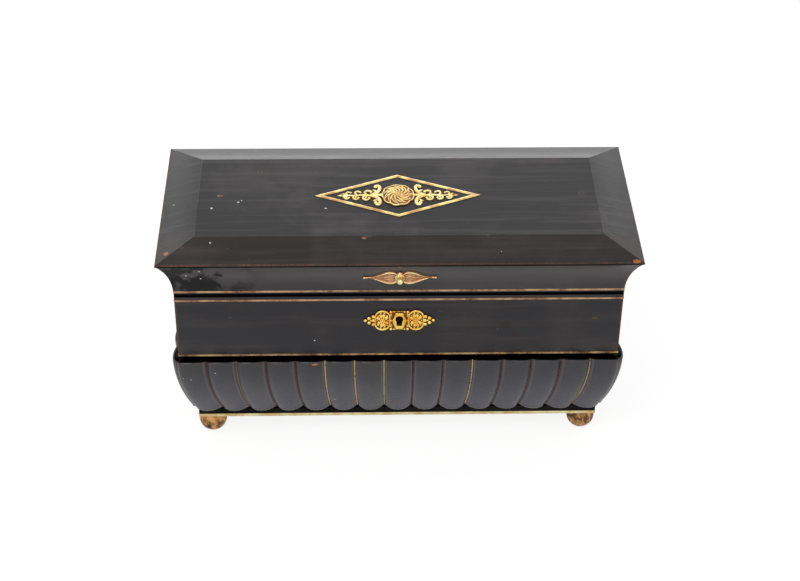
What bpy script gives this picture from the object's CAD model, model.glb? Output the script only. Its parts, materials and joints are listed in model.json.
"""Looks of an ebonised deed box: black lacquer, gilt lines, pressed brass mounts and ball feet.

Metres, +Z up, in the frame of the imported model. Depths called inset are measured inwards
from the lid's eave, on each of the four sides alike.
"""

from __future__ import annotations

import json
import logging
import math
import random
from dataclasses import dataclass, field
from enum import Enum
from typing import Callable, Iterable, Sequence

import bmesh
import bpy
from mathutils import Matrix, Vector

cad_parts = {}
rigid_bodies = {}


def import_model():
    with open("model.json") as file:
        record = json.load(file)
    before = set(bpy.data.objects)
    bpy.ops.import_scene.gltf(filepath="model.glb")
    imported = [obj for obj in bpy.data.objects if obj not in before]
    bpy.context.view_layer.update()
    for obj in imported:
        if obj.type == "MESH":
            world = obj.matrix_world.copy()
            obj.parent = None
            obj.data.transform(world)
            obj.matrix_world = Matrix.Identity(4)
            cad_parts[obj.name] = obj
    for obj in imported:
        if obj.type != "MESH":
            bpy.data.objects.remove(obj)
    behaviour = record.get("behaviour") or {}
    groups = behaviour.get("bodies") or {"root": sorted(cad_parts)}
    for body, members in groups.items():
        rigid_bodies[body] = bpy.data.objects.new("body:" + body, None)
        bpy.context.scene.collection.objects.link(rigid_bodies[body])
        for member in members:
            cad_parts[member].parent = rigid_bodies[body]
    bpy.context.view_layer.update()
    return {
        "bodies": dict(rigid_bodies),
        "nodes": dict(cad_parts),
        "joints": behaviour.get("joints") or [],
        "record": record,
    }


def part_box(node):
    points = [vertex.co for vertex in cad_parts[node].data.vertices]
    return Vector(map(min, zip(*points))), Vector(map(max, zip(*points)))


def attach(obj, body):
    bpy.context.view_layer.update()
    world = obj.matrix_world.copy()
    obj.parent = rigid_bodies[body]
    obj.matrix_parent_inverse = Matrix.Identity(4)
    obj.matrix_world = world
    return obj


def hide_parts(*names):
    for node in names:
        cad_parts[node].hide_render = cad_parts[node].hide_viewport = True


log = logging.getLogger("deed_box")

MM = 0.001

Place = Callable[[float, float], Vector]
Seat = Callable[[float, float, float], Vector]
Colour = tuple[float, float, float, float]
Spot = tuple[float, float, float]
Outline = Sequence[tuple[float, float]]


def srgb(red: float, green: float, blue: float) -> Colour:
    """Turns a colour as it shows on a screen into linear light.

    Args:
        red: Red from 0 to 255.
        green: Green from 0 to 255.
        blue: Blue from 0 to 255.

    Returns:
        The linear colour with an alpha of one.
    """
    def linear(value: float) -> float:
        """Gives the light of one channel."""
        share = value / 255
        return share / 12.92 if share <= 0.04045 else ((share + 0.055) / 1.055) ** 2.4

    return (linear(red), linear(green), linear(blue), 1.0)


class Side(Enum):
    """The four sides of the box, by the quarter turns from the front."""

    FRONT = 0
    RIGHT = 1
    BACK = 2
    LEFT = 3


class Slot(Enum):
    """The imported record's material slots that new pieces take."""

    WOOD = "ebonised_wood"
    GILT = "gilt_brass"
    PATINA = "patinated_brass"


@dataclass(frozen=True)
class Levels:
    """Heights and insets of the box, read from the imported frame."""

    half_l: float
    half_d: float
    z_base: float
    z_wall: float
    z_case_top: float
    z_lid: float
    z_hollow: float
    z_eave: float
    z_slope: float
    z_field: float
    slope_w: float
    wall_in: float
    wall_inner: float
    plinth_inset: float
    hollow_r: float
    z_mount: float

    @classmethod
    def read(cls) -> Levels:
        """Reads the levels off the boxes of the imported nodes.

        Returns:
            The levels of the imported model.
        """
        eave_t, lid_foot_h, eave_step, wall_t = 2 * MM, 1.5 * MM, 0.8 * MM, 12 * MM
        half_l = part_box("slope_right")[1].x
        half_d = -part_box("slope_front")[0].y
        case_low, case_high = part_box("case_front")
        lid_low, lid_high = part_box("cavetto_front")
        _, panel_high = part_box("lid_panel")
        base_low, base_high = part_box("base_moulding_front")
        wall_in = half_d + case_low.y
        z_hollow = lid_low.z + lid_foot_h
        rise, reach = lid_high.z - z_hollow, wall_in - eave_step
        return cls(
            half_l=half_l, half_d=half_d, z_base=base_low.z, z_wall=base_high.z,
            z_case_top=case_high.z, z_lid=lid_low.z, z_hollow=z_hollow, z_eave=lid_high.z,
            z_slope=lid_high.z + eave_t, z_field=panel_high.z, slope_w=half_d - panel_high.y,
            wall_in=wall_in, wall_inner=wall_in + wall_t,
            plinth_inset=half_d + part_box("plinth_front")[0].y,
            hollow_r=(rise * rise + reach * reach) / (2 * reach),
            z_mount=sum(corner.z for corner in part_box("escutcheon")) / 2,
        )


# Shader arithmetic


class Tone:
    """A number that nodes work out, written as a plain expression."""

    def __init__(self, nodes: Nodes, socket: bpy.types.NodeSocket) -> None:
        """Wraps a socket of a tree of nodes."""
        self.nodes = nodes
        self.socket = socket

    def __add__(self, other: Tone | float) -> Tone:
        """Adds a number or another tone."""
        return self.nodes.maths("ADD", self, other)

    __radd__ = __add__

    def __mul__(self, other: Tone | float) -> Tone:
        """Multiplies by a number or another tone."""
        return self.nodes.maths("MULTIPLY", self, other)

    __rmul__ = __mul__

    def __sub__(self, other: Tone | float) -> Tone:
        """Takes a number or another tone away."""
        return self.nodes.maths("SUBTRACT", self, other)

    def __rsub__(self, other: float) -> Tone:
        """Takes this tone away from a number."""
        return self.nodes.maths("SUBTRACT", other, self)

    def __pow__(self, power: float) -> Tone:
        """Raises the tone to a power."""
        return self.nodes.maths("POWER", self, power)

    def size(self) -> Tone:
        """Gives the tone without its sign."""
        return self.nodes.maths("ABSOLUTE", self)

    def least(self, other: Tone | float) -> Tone:
        """Gives the smaller of two tones."""
        return self.nodes.maths("MINIMUM", self, other)

    def most(self, other: Tone | float) -> Tone:
        """Gives the larger of two tones."""
        return self.nodes.maths("MAXIMUM", self, other)

    def rise(self, low: float, high: float) -> Tone:
        """Climbs smoothly from 0 at low to 1 at high, or falls where low is above high."""
        return self.nodes.spread(self, low, high)

    def near(self, middle: float, reach: float, soft: float) -> Tone:
        """Marks where the tone lies within reach of middle, with an edge that fades over soft."""
        return (self - middle).size().rise(reach + soft, max(reach - soft, 0.0))


class Nodes:
    """A tree whose nodes all come from one method."""

    def __init__(self, tree: bpy.types.NodeTree) -> None:
        """Starts with an empty tree."""
        self.tree = tree
        self.tree.nodes.clear()

    def node(
        self,
        kind: str,
        settings: dict[str, object] | None = None,
        sockets: dict[str | int, object] | None = None,
    ) -> bpy.types.Node:
        """Adds a node of any kind.

        Args:
            kind: Its type.
            settings: What is set on the node itself, before its inputs.
            sockets: A value, a tone or a socket for each named input.

        Returns:
            The node.
        """
        made = self.tree.nodes.new(kind)
        for key, value in (settings or {}).items():
            setattr(made, key, value)
        for key, value in (sockets or {}).items():
            if isinstance(value, Tone):
                value = value.socket
            if isinstance(value, bpy.types.NodeSocket):
                self.tree.links.new(value, made.inputs[key])
            else:
                made.inputs[key].default_value = value
        return made

    def maths(self, operation: str, *values: Tone | float) -> Tone:
        """Works out one operation on numbers and tones.

        Args:
            operation: The Math node's operation.
            values: Its operands.

        Returns:
            The result.
        """
        sockets = dict(enumerate(values))
        return Tone(self, self.node("ShaderNodeMath", {"operation": operation}, sockets).outputs[0])

    def spread(self, value: Tone, low: float, high: float) -> Tone:
        """Maps a tone smoothly from low and high to 0 and 1.

        Args:
            value: The tone.
            low: Where the result is 0.
            high: Where the result is 1.

        Returns:
            A mask from 0 to 1.
        """
        upward = low <= high
        made = self.node(
            "ShaderNodeMapRange",
            {"interpolation_type": "SMOOTHSTEP"},
            {"Value": value, "From Min": min(low, high), "From Max": max(low, high),
             "To Min": 0.0 if upward else 1.0, "To Max": 1.0 if upward else 0.0},
        )
        return Tone(self, made.outputs["Result"])


class Bench(Nodes):
    """The bench on which one material is put together."""

    def __init__(self, name: str) -> None:
        """Starts an empty material.

        Args:
            name: The material's name.
        """
        self.made = bpy.data.materials.new(name)
        self.made.use_nodes = True
        super().__init__(self.made.node_tree)
        self.where = self.node("ShaderNodeTexCoord").outputs["Object"]
        split = self.node("ShaderNodeSeparateXYZ", sockets={"Vector": self.where})
        self.x, self.y, self.z = (Tone(self, split.outputs[axis]) for axis in "XYZ")

    def mapped(self, shift: float, stretch: Spot = (1.0, 1.0, 1.0)) -> bpy.types.NodeSocket:
        """Gives the place on the box for a pattern.

        Args:
            shift: An offset that gives another pattern.
            stretch: Factors along the three axes, small where the pattern is long.

        Returns:
            The place, shifted and stretched.
        """
        made = self.node(
            "ShaderNodeMapping", {"vector_type": "POINT"},
            {"Vector": self.where, "Scale": stretch, "Location": (shift, shift, shift)},
        )
        return made.outputs[0]

    def noise(
        self, scale: float, detail: float = 3.0, rough: float = 0.55,
        stretch: Spot = (1.0, 1.0, 1.0), shift: float = 0.0,
    ) -> Tone:
        """Gives a cloudy tone between 0 and 1 around the half.

        Args:
            scale: Clouds per metre.
            detail: How many finer layers it has.
            rough: How strong the finer layers are.
            stretch: Factors along the three axes, small where the clouds are long.
            shift: An offset that gives another pattern.

        Returns:
            The tone.
        """
        made = self.node(
            "ShaderNodeTexNoise", {"noise_dimensions": "3D"},
            {"Vector": self.mapped(shift, stretch), "Scale": scale, "Detail": detail, "Roughness": rough},
        )
        return Tone(self, made.outputs["Fac"])

    def cells(self, scale: float, shift: float = 0.0) -> Tone:
        """Gives the distance to the nearest of many scattered points.

        Args:
            scale: Points per metre.
            shift: An offset that gives another pattern.

        Returns:
            The distance, as a share of the points' spacing.
        """
        made = self.node(
            "ShaderNodeTexVoronoi", {"feature": "F1"}, {"Vector": self.mapped(shift), "Scale": scale}
        )
        return Tone(self, made.outputs["Distance"])

    def along(self, name: str) -> Tone:
        """Reads a number that the mesh carries as an attribute."""
        made = self.node("ShaderNodeAttribute", {"attribute_name": name, "attribute_type": "GEOMETRY"})
        return Tone(self, made.outputs["Fac"])

    def distance(self, point: Spot, squash: Spot = (1.0, 1.0, 1.0)) -> Tone:
        """Measures how far a place lies from a point.

        Args:
            point: The point.
            squash: Factors along the three axes, below one where the mark is long.

        Returns:
            The distance in metres.
        """
        away = self.node("ShaderNodeVectorMath", {"operation": "SUBTRACT"}, {0: self.where, 1: point})
        pressed = self.node(
            "ShaderNodeVectorMath", {"operation": "MULTIPLY"}, {0: away.outputs[0], 1: squash}
        )
        made = self.node("ShaderNodeVectorMath", {"operation": "LENGTH"}, {0: pressed.outputs[0]})
        return Tone(self, made.outputs["Value"])

    def blend(self, share: Tone, first: object, second: object) -> bpy.types.NodeSocket:
        """Mixes two colours.

        Args:
            share: How much of the second colour shows.
            first: A colour or a colour socket.
            second: A colour or a colour socket.

        Returns:
            The mixed colour.
        """
        made = self.node(
            "ShaderNodeMix", {"data_type": "RGBA", "clamp_factor": True},
            {0: share, 6: first, 7: second},
        )
        return made.outputs[2]

    def inset(self, levels: Levels) -> tuple[Tone, Tone, Tone]:
        """Gives the insets from the eave.

        Args:
            levels: The box's levels.

        Returns:
            The inset from the ends, from the long sides, and the smaller of them.
        """
        ends = levels.half_l - self.x.size()
        sides = levels.half_d - self.y.size()
        return ends, sides, ends.least(sides)

    def finish(
        self, colour: object, rough: object, *, bump: Tone, depth: float,
        metal: object = 0.0, ior: float = 1.5,
    ) -> bpy.types.Material:
        """Closes the material with its surface.

        Args:
            colour: Base colour, plain or worked out.
            rough: Roughness, plain or worked out.
            bump: Height of the fine relief.
            depth: What a full step of the relief measures, in metres.
            metal: Metallic, plain or worked out.
            ior: Index of refraction.

        Returns:
            The material.
        """
        bumped = self.node(
            "ShaderNodeBump", sockets={"Height": bump, "Strength": 1.0, "Distance": depth}
        )
        surface = self.node(
            "ShaderNodeBsdfPrincipled",
            sockets={
                "Base Color": colour, "Roughness": rough, "Metallic": metal, "IOR": ior,
                "Normal": bumped.outputs["Normal"],
            },
        )
        self.node("ShaderNodeOutputMaterial", sockets={"Surface": surface.outputs["BSDF"]})
        return self.made


# Finishes


@dataclass(frozen=True)
class Finish:
    """A finish that is made once and then shared."""

    name: str

    def make(self, bench: Bench) -> bpy.types.Material:
        """Puts the finish's nodes together on a bench."""
        raise NotImplementedError

    def material(self) -> bpy.types.Material:
        """Gives the material, made on its first use."""
        return bpy.data.materials.get(self.name) or self.make(Bench(self.name))


class MarkKind(Enum):
    """What a mark on the lacquer shows: its colour."""

    PAINT = srgb(226, 226, 222)
    BARE_WOOD = srgb(186, 112, 66)
    DARK = srgb(14, 12, 12)
    DULL = srgb(92, 76, 62)
    STAIN = srgb(44, 30, 22)

    def strength(self) -> float:
        """Gives how much of the lacquer the colour hides."""
        return 0.6 if self in (MarkKind.DULL, MarkKind.STAIN) else 1.0


@dataclass(frozen=True)
class Mark:
    """A small mark on the lacquer, in millimetres in the frame of the box."""

    kind: MarkKind
    x: float
    y: float
    z: float
    size: float
    long: float = 1.0
    ring: float = 0.0

    def mask(self, bench: Bench, ragged: Tone) -> Tone:
        """Gives the mark's mask.

        Args:
            bench: The bench of the material.
            ragged: A cloudy tone that breaks up its edge.

        Returns:
            A mask from 0 to 1.
        """
        away = bench.distance((self.x * MM, self.y * MM, self.z * MM), (1 / self.long, 1.0, 1.0))
        edge = away + (ragged - 0.5) * (1.1 * self.size * MM)
        if self.ring:
            return edge.near(self.size * MM, self.ring * MM, 0.25 * MM)
        return edge.rise(self.size * MM, 0.55 * self.size * MM)


LID_MARKS = (
    Mark(MarkKind.PAINT, -157.1, -17.5, 211, 1.5, 0.8),
    Mark(MarkKind.PAINT, -135.2, -8.6, 211, 1.2),
    Mark(MarkKind.PAINT, -132.4, -6.0, 211, 0.7),
    Mark(MarkKind.PAINT, -61.2, -18.5, 211, 0.9, 1.6),
    Mark(MarkKind.DULL, -53.5, -17.2, 211, 0.9),
    Mark(MarkKind.DULL, -118.4, 38.9, 211, 1.8, ring=0.6),
    Mark(MarkKind.DARK, -118.0, 39.1, 211, 1.2),
    Mark(MarkKind.BARE_WOOD, -151.1, 1.0, 211, 1.3, 1.4, ring=0.3),
    Mark(MarkKind.DARK, 120.8, 46.7, 211, 1.3, 1.5),
    Mark(MarkKind.DARK, 134.7, 55.2, 211, 1.0),
    Mark(MarkKind.DULL, 45.5, 60.7, 211, 2.0, 2.0),
    Mark(MarkKind.BARE_WOOD, -29.5, -61.4, 210.4, 1.3, 1.7),
    Mark(MarkKind.DULL, -26.5, -59.4, 211, 1.8, 2.6),
    Mark(MarkKind.PAINT, -155.7, -65.3, 209.2, 1.1, 0.8),
    Mark(MarkKind.DULL, -141.1, -71.4, 207.6, 0.9),
    Mark(MarkKind.PAINT, 83.1, -76.1, 206.4, 0.5),
    Mark(MarkKind.BARE_WOOD, -191.4, -75.0, 205.9, 3.0, 0.9),
    Mark(MarkKind.DULL, -180.0, -70.5, 207.9, 1.1, 4.2),
    Mark(MarkKind.PAINT, -190.2, -4.2, 205.6, 0.7),
    Mark(MarkKind.DULL, 156.8, 2.5, 211, 1.7, 1.2, ring=0.3),
    Mark(MarkKind.DULL, 177.9, -57.5, 209.5, 1.1, 4.5),
    Mark(MarkKind.BARE_WOOD, 193.4, -87.2, 203.6, 2.4, 1.6),
    Mark(MarkKind.PAINT, -164.5, -83.6, 193.5, 1.1),
    Mark(MarkKind.PAINT, -175.7, -80.6, 186.8, 0.8),
    Mark(MarkKind.PAINT, -164.1, -79.3, 182.9, 0.8),
)

CASE_MARKS = (
    Mark(MarkKind.PAINT, -71.6, -76.6, 115.2, 0.8),
    Mark(MarkKind.STAIN, 89.4, -76.6, 130.4, 5.0, 1.3),
    Mark(MarkKind.STAIN, 98.4, -76.6, 120.0, 3.6, 1.2),
    Mark(MarkKind.DULL, 165.2, -76.6, 137.1, 1.6, 2.0),
)

BASE_MARKS = (
    Mark(MarkKind.PAINT, -184.7, -81.5, 78.2, 0.8),
    Mark(MarkKind.PAINT, -178.0, -81.3, 76.9, 0.7),
    Mark(MarkKind.PAINT, -156.9, -82.3, 84.5, 0.8),
    Mark(MarkKind.PAINT, -84.7, -81.3, 77.0, 0.9),
    Mark(MarkKind.PAINT, -68.4, -80.9, 74.5, 0.8),
    Mark(MarkKind.PAINT, -67.6, -80.2, 68.0, 0.7),
    Mark(MarkKind.PAINT, -55.3, -74.7, 47.6, 0.9, 2.0),
    Mark(MarkKind.BARE_WOOD, -70.7, -82.2, 93.2, 1.6, 2.6),
)

SOOT = srgb(6, 5, 5)


def lay_marks(bench: Bench, marks: Iterable[Mark], colour: object) -> object:
    """Lays marks over a colour, one after another.

    Args:
        bench: The bench of the material.
        marks: The marks.
        colour: The colour under them.

    Returns:
        The colour with the marks on it.
    """
    ragged = bench.noise(900, 2, 0.6)
    for mark in marks:
        colour = bench.blend(mark.mask(bench, ragged) * mark.kind.strength(), colour, mark.kind.value)
    return colour


@dataclass(frozen=True)
class EbonisedLacquer(Finish):
    """Black lacquer on wood, worn through to brown along its arrises."""

    levels: Levels
    marks: tuple[Mark, ...] = ()
    ground: Colour = srgb(24, 22, 26)
    cloud: Colour = srgb(62, 57, 58)
    front_brown: Colour = srgb(58, 46, 42)
    line_grey: Colour = srgb(96, 88, 84)
    worn: Colour = srgb(112, 72, 50)
    worn_deep: Colour = srgb(70, 46, 36)
    inner: Colour = srgb(104, 66, 40)
    inner_deep: Colour = srgb(70, 42, 26)
    hollow_grey: Colour = srgb(96, 92, 93)
    blotch_black: Colour = srgb(12, 10, 10)
    dust_grey: Colour = srgb(150, 148, 144)
    gloss: float = 0.34
    ior: float = 1.36

    def arrises(self, bench: Bench) -> Tone:
        """Marks the edges that hands and knocks have worn.

        Args:
            bench: The bench of the material.

        Returns:
            A mask from 0 to 1.
        """
        up = self.levels
        ends, sides, inset = bench.inset(up)
        eave = inset.rise(1.5 * MM, 0.7 * MM) * bench.z.near(up.z_slope + 0.1 * MM, 0.7 * MM, 0.3 * MM)
        # The eave is barest towards its left end
        eave = eave * (bench.x.rise(80 * MM, -170 * MM) * 0.6 + 0.4)
        outside = inset.rise(up.wall_in + 2.0 * MM, up.wall_in + 1.0 * MM)
        corners = (ends - sides).near(0.0, 1.3 * MM, 0.5 * MM) * outside
        return eave.most(corners * bench.z.rise(up.z_slope, up.z_eave) * 0.8)

    def shade(self, bench: Bench) -> Tone:
        """Marks where black dirt sits: the joint, the recess over the base and under the eave.

        Args:
            bench: The bench of the material.

        Returns:
            A mask from 0 to 1.
        """
        up = self.levels
        _, _, inset = bench.inset(up)
        joint = bench.z.near(up.z_case_top + 0.5 * MM, 1.8 * MM, 0.3 * MM)
        recess = bench.z.rise(up.z_wall + 3.4 * MM, up.z_wall + 2.9 * MM)
        case = bench.z.rise(up.z_base + 2 * MM, up.z_base + 4 * MM)
        outer = inset.rise(up.wall_inner - 1 * MM, up.wall_inner - 2 * MM)
        under = bench.z.near(up.z_eave - 0.6 * MM, 1.5 * MM, 0.2 * MM) * inset.rise(2.2 * MM, 1.6 * MM)
        valley = bench.z.near(up.z_base - 3 * MM, 4 * MM, 1 * MM) * 0.8
        return (joint.most(recess * case) * outer).most(under).most(valley)

    def lines(self, bench: Bench, patches: Tone) -> Tone:
        """Marks the lid's mitres and its border's inner edge, which show as fine lines.

        Args:
            bench: The bench of the material.
            patches: A cloudy tone that breaks the lines up.

        Returns:
            A mask from 0 to 1.
        """
        up = self.levels
        ends, sides, inset = bench.inset(up)
        sloping = inset.rise(up.slope_w + 0.5 * MM, up.slope_w) * bench.z.rise(up.z_eave, up.z_slope)
        mitre = (ends - sides).near(0.0, 0.5 * MM, 0.3 * MM) * sloping
        border = inset.near(up.slope_w, 0.45 * MM, 0.3 * MM) * bench.z.rise(up.z_slope, up.z_field)
        return mitre.most(border) * patches.rise(0.3, 0.62)

    def inside(self, bench: Bench) -> Tone:
        """Marks the bare wood inside the walls.

        Args:
            bench: The bench of the material.

        Returns:
            A mask from 0 to 1.
        """
        up = self.levels
        _, _, inset = bench.inset(up)
        within = inset.rise(up.wall_inner - 0.3 * MM, up.wall_inner - 0.1 * MM)
        below = bench.z.rise(up.z_slope, up.z_eave - 1 * MM)
        above = bench.z.rise(up.z_base + 1 * MM, up.z_base + 2 * MM)
        return within * below * above

    def hollow(self, bench: Bench) -> Tone:
        """Marks the hollow moulding under the eave.

        Args:
            bench: The bench of the material.

        Returns:
            A mask from 0 to 1.
        """
        up = self.levels
        _, _, inset = bench.inset(up)
        height = bench.z.near((up.z_hollow + up.z_eave) / 2, 17 * MM, 1.5 * MM)
        return height * inset.rise(up.wall_inner - 3 * MM, up.wall_inner - 4 * MM)

    def make(self, bench: Bench) -> bpy.types.Material:
        """Puts the lacquer together.

        Args:
            bench: The bench of the material.

        Returns:
            The material.
        """
        up = self.levels
        streaks = bench.noise(26, 4, 0.6, stretch=(0.25, 5.5, 3.0))
        clouds = bench.noise(17, 4, 0.6, shift=3.0)
        fine = bench.noise(420, 3, 0.6)
        patches = bench.noise(55, 5, 0.65, shift=7.0)
        # A lift of brown in the black, where the lacquer has thinned
        thin = clouds.rise(0.46, 0.70) * 0.6 + streaks.rise(0.47, 0.66) * 0.6
        colour = bench.blend(thin, self.ground, self.cloud)
        # The front border of the lid is browner than the field
        border = up.slope_w - up.half_d
        front = bench.y.rise(border + 0.4 * MM, border - 0.4 * MM) * bench.z.rise(up.z_eave, up.z_slope)
        colour = bench.blend(front * 0.4, colour, self.front_brown)
        colour = bench.blend(self.lines(bench, patches) * 0.4, colour, self.line_grey)
        arrises = self.arrises(bench)
        wear = arrises * patches.rise(0.34, 0.52) + arrises * fine.rise(0.4, 0.6) * 0.3
        colour = bench.blend(wear, colour, bench.blend(fine.rise(0.35, 0.65), self.worn, self.worn_deep))
        inside = self.inside(bench)
        grain = bench.noise(60, 4, 0.6, stretch=(0.12, 4.0, 2.0), shift=1.0)
        colour = bench.blend(inside, colour, bench.blend(grain, self.inner, self.inner_deep))
        # The hollow is paler in its upper half and blotched with black at its left end
        hollow = self.hollow(bench)
        upper = bench.z.rise(up.z_hollow + 4 * MM, up.z_eave - 6 * MM)
        colour = bench.blend(hollow * (upper * 0.45 + 0.3), colour, self.hollow_grey)
        mottle = (clouds * 0.5 + patches * 0.5).rise(0.46, 0.54)
        blotch = hollow * bench.x.rise(-105 * MM, -150 * MM) * mottle
        colour = bench.blend(blotch, colour, self.blotch_black)
        dust = bench.cells(95, 2.0).rise(0.05, 0.03) * patches.rise(0.46, 0.6)
        colour = bench.blend(dust * 0.55, colour, self.dust_grey)
        colour = lay_marks(bench, self.marks, colour)
        shine = streaks * 0.16 + clouds * 0.16 + fine * 0.08 + (self.gloss - 0.2)
        rough = shine + wear * 0.2 + inside * 0.25 + dust * 0.2 + blotch * 0.3
        relief = streaks * 0.5 + fine * 0.12 + clouds * 0.6 - wear * 0.5
        # Black dirt swallows the light, so that it takes no gloss either
        soot = self.shade(bench)
        colour = bench.blend(soot, colour, SOOT)
        return bench.finish(colour, rough, metal=soot, ior=self.ior, bump=relief, depth=0.2 * MM)


@dataclass(frozen=True)
class LobeLacquer(Finish):
    """Black lacquer of the gadroons, whose seams are gilt where it has lasted."""

    levels: Levels
    marks: tuple[Mark, ...] = BASE_MARKS
    ground: Colour = srgb(78, 78, 86)
    cloud: Colour = srgb(92, 89, 93)
    foot: Colour = srgb(46, 44, 47)
    foot_cloud: Colour = srgb(62, 60, 63)
    rim: Colour = srgb(128, 122, 122)
    valley: Colour = srgb(26, 20, 19)
    rubbed_brown: Colour = srgb(86, 66, 58)
    worn_gilding: Colour = srgb(72, 50, 42)
    gold: Colour = srgb(250, 222, 168)
    gold_deep: Colour = srgb(226, 182, 118)
    dust_grey: Colour = srgb(160, 158, 152)

    def make(self, bench: Bench) -> bpy.types.Material:
        """Puts the gadroons' lacquer together. The mesh carries its seams and their gilding.

        Args:
            bench: The bench of the material.

        Returns:
            The material.
        """
        up = self.levels
        clouds = bench.noise(24, 4, 0.6, shift=5.0)
        fine = bench.noise(380, 3, 0.6)
        patches = bench.noise(120, 4, 0.65, shift=9.0)
        seam = bench.along("seam")
        gilding = bench.along("gilding")
        colour = bench.blend(clouds.rise(0.4, 0.75), self.ground, self.cloud)
        low = bench.z.rise(up.z_wall - 6 * MM, up.z_base + 14 * MM)
        colour = bench.blend(low, bench.blend(clouds, self.foot, self.foot_cloud), colour)
        # A paler rim, and rubbed brown beside the seams and on the lobes' upper edge
        colour = bench.blend(seam.near(0.86, 0.02, 0.04) * 0.35, colour, self.rim)
        colour = bench.blend(seam.rise(0.91, 0.97), colour, self.valley)
        rubbed = seam.rise(0.89, 0.96) * patches.rise(0.40, 0.60) * 0.9
        crown = bench.z.near(up.z_wall - 1.2 * MM, 1.5 * MM, 0.8 * MM) * patches.rise(0.52, 0.66)
        colour = bench.blend(rubbed.most(crown * 0.5), colour, self.rubbed_brown)
        thread = (seam + (patches - 0.5) * 0.03).rise(0.955, 0.975)
        bright = gilding * fine.rise(0.30, 0.42)
        worn = thread * (1 - gilding) * patches.rise(0.3, 0.5)
        colour = bench.blend(worn, colour, self.worn_gilding)
        colour = bench.blend(thread * bright, colour, bench.blend(fine, self.gold, self.gold_deep))
        dust = bench.cells(120, 4.0).rise(0.035, 0.02) * patches.rise(0.5, 0.6)
        colour = bench.blend(dust * 0.6, colour, self.dust_grey)
        colour = lay_marks(bench, self.marks, colour)
        rough = clouds * 0.2 + fine * 0.1 + 0.14 + rubbed * 0.2
        relief = clouds * 0.6 + fine * 0.1 - rubbed * 0.4
        # The top of each lobe lies in the dark under the wall, deepest beside its seams
        soot = (bench.z + seam ** 2 * (1.3 * MM)).rise(up.z_wall - 1.0 * MM, up.z_wall - 0.3 * MM)
        colour = bench.blend(soot, colour, SOOT)
        return bench.finish(colour, rough, metal=soot, bump=relief, depth=0.1 * MM)


@dataclass(frozen=True)
class PressedBrass(Finish):
    """Gilt brass stampings: bright on the high parts, brown in the low ones."""

    # Heights over the wood, in millimetres, between which the brass turns bright
    low: float = 0.0
    high: float = 1.0
    bright: Colour = srgb(248, 222, 140)
    warm: Colour = srgb(214, 160, 78)
    dark: Colour = srgb(86, 50, 26)

    def make(self, bench: Bench) -> bpy.types.Material:
        """Puts the brass together. The mesh carries its height over the wood as relief.

        Args:
            bench: The bench of the material.

        Returns:
            The material.
        """
        height = bench.along("relief").rise(self.low, self.high)
        grime = bench.noise(700, 4, 0.65)
        clouds = bench.noise(110, 3, 0.6, shift=2.0)
        shade = (height * 0.9 + (grime - 0.5) * 0.7).rise(0.05, 0.55)
        body = bench.blend(clouds.rise(0.35, 0.65), self.warm, self.bright)
        colour = bench.blend(shade, self.dark, body)
        rough = 0.46 - shade * 0.2 + grime * 0.12
        metal = shade * 0.35 + 0.62
        return bench.finish(colour, rough, metal=metal, bump=grime, depth=0.12 * MM)


@dataclass(frozen=True)
class WornLine(Finish):
    """A thin line of gilding, rubbed away in places."""

    light: Colour = srgb(205, 168, 128)
    deep: Colour = srgb(150, 104, 72)
    bare: Colour = srgb(60, 42, 34)
    rub: float = 0.36

    def make(self, bench: Bench) -> bpy.types.Material:
        """Puts the line together.

        Args:
            bench: The bench of the material.

        Returns:
            The material.
        """
        patches = bench.noise(70, 5, 0.7, shift=4.0)
        fine = bench.noise(900, 3, 0.6)
        lasting = (patches * 0.5 + fine * 0.5).rise(self.rub, self.rub + 0.08)
        gilding = bench.blend(patches.rise(0.35, 0.65), self.deep, self.light)
        colour = bench.blend(lasting, self.bare, gilding)
        rough = 0.5 - lasting * 0.15 + fine * 0.1
        return bench.finish(colour, rough, metal=lasting * 0.55, bump=fine, depth=0.08 * MM)


@dataclass(frozen=True)
class PatinatedBrass(Finish):
    """Old brass with a mottled brown patina."""

    brown: Colour = srgb(104, 68, 42)
    lit: Colour = srgb(212, 160, 100)
    dark: Colour = srgb(72, 46, 30)

    def make(self, bench: Bench) -> bpy.types.Material:
        """Puts the patina together.

        Args:
            bench: The bench of the material.

        Returns:
            The material.
        """
        blotches = bench.noise(150, 5, 0.65)
        fine = bench.noise(800, 3, 0.6)
        streaks = bench.noise(240, 3, 0.6, stretch=(1.0, 1.0, 0.35), shift=6.0)
        lit = (blotches * 0.6 + streaks * 0.4).rise(0.42, 0.60)
        colour = bench.blend(lit, self.brown, self.lit)
        colour = bench.blend(blotches.rise(0.48, 0.36) * 0.8, colour, self.dark)
        rough = 0.48 - lit * 0.18 + fine * 0.12
        relief = blotches + fine * 0.3
        return bench.finish(colour, rough, metal=lit * 0.3 + 0.6, bump=relief, depth=0.25 * MM)


@dataclass(frozen=True)
class LockIron(Finish):
    """Plain filed iron with a little rust."""

    pale: Colour = srgb(150, 150, 152)
    grey: Colour = srgb(104, 102, 102)
    rusty: Colour = srgb(96, 58, 36)

    def make(self, bench: Bench) -> bpy.types.Material:
        """Puts the iron together.

        Args:
            bench: The bench of the material.

        Returns:
            The material.
        """
        filed = bench.noise(300, 3, 0.6, stretch=(0.2, 1.0, 3.0))
        rust = bench.noise(160, 4, 0.65, shift=3.0).rise(0.58, 0.72)
        colour = bench.blend(rust, bench.blend(filed, self.pale, self.grey), self.rusty)
        rough = 0.36 + filed * 0.15 + rust * 0.3
        return bench.finish(colour, rough, metal=1 - rust * 0.8, bump=filed, depth=0.1 * MM)


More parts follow.
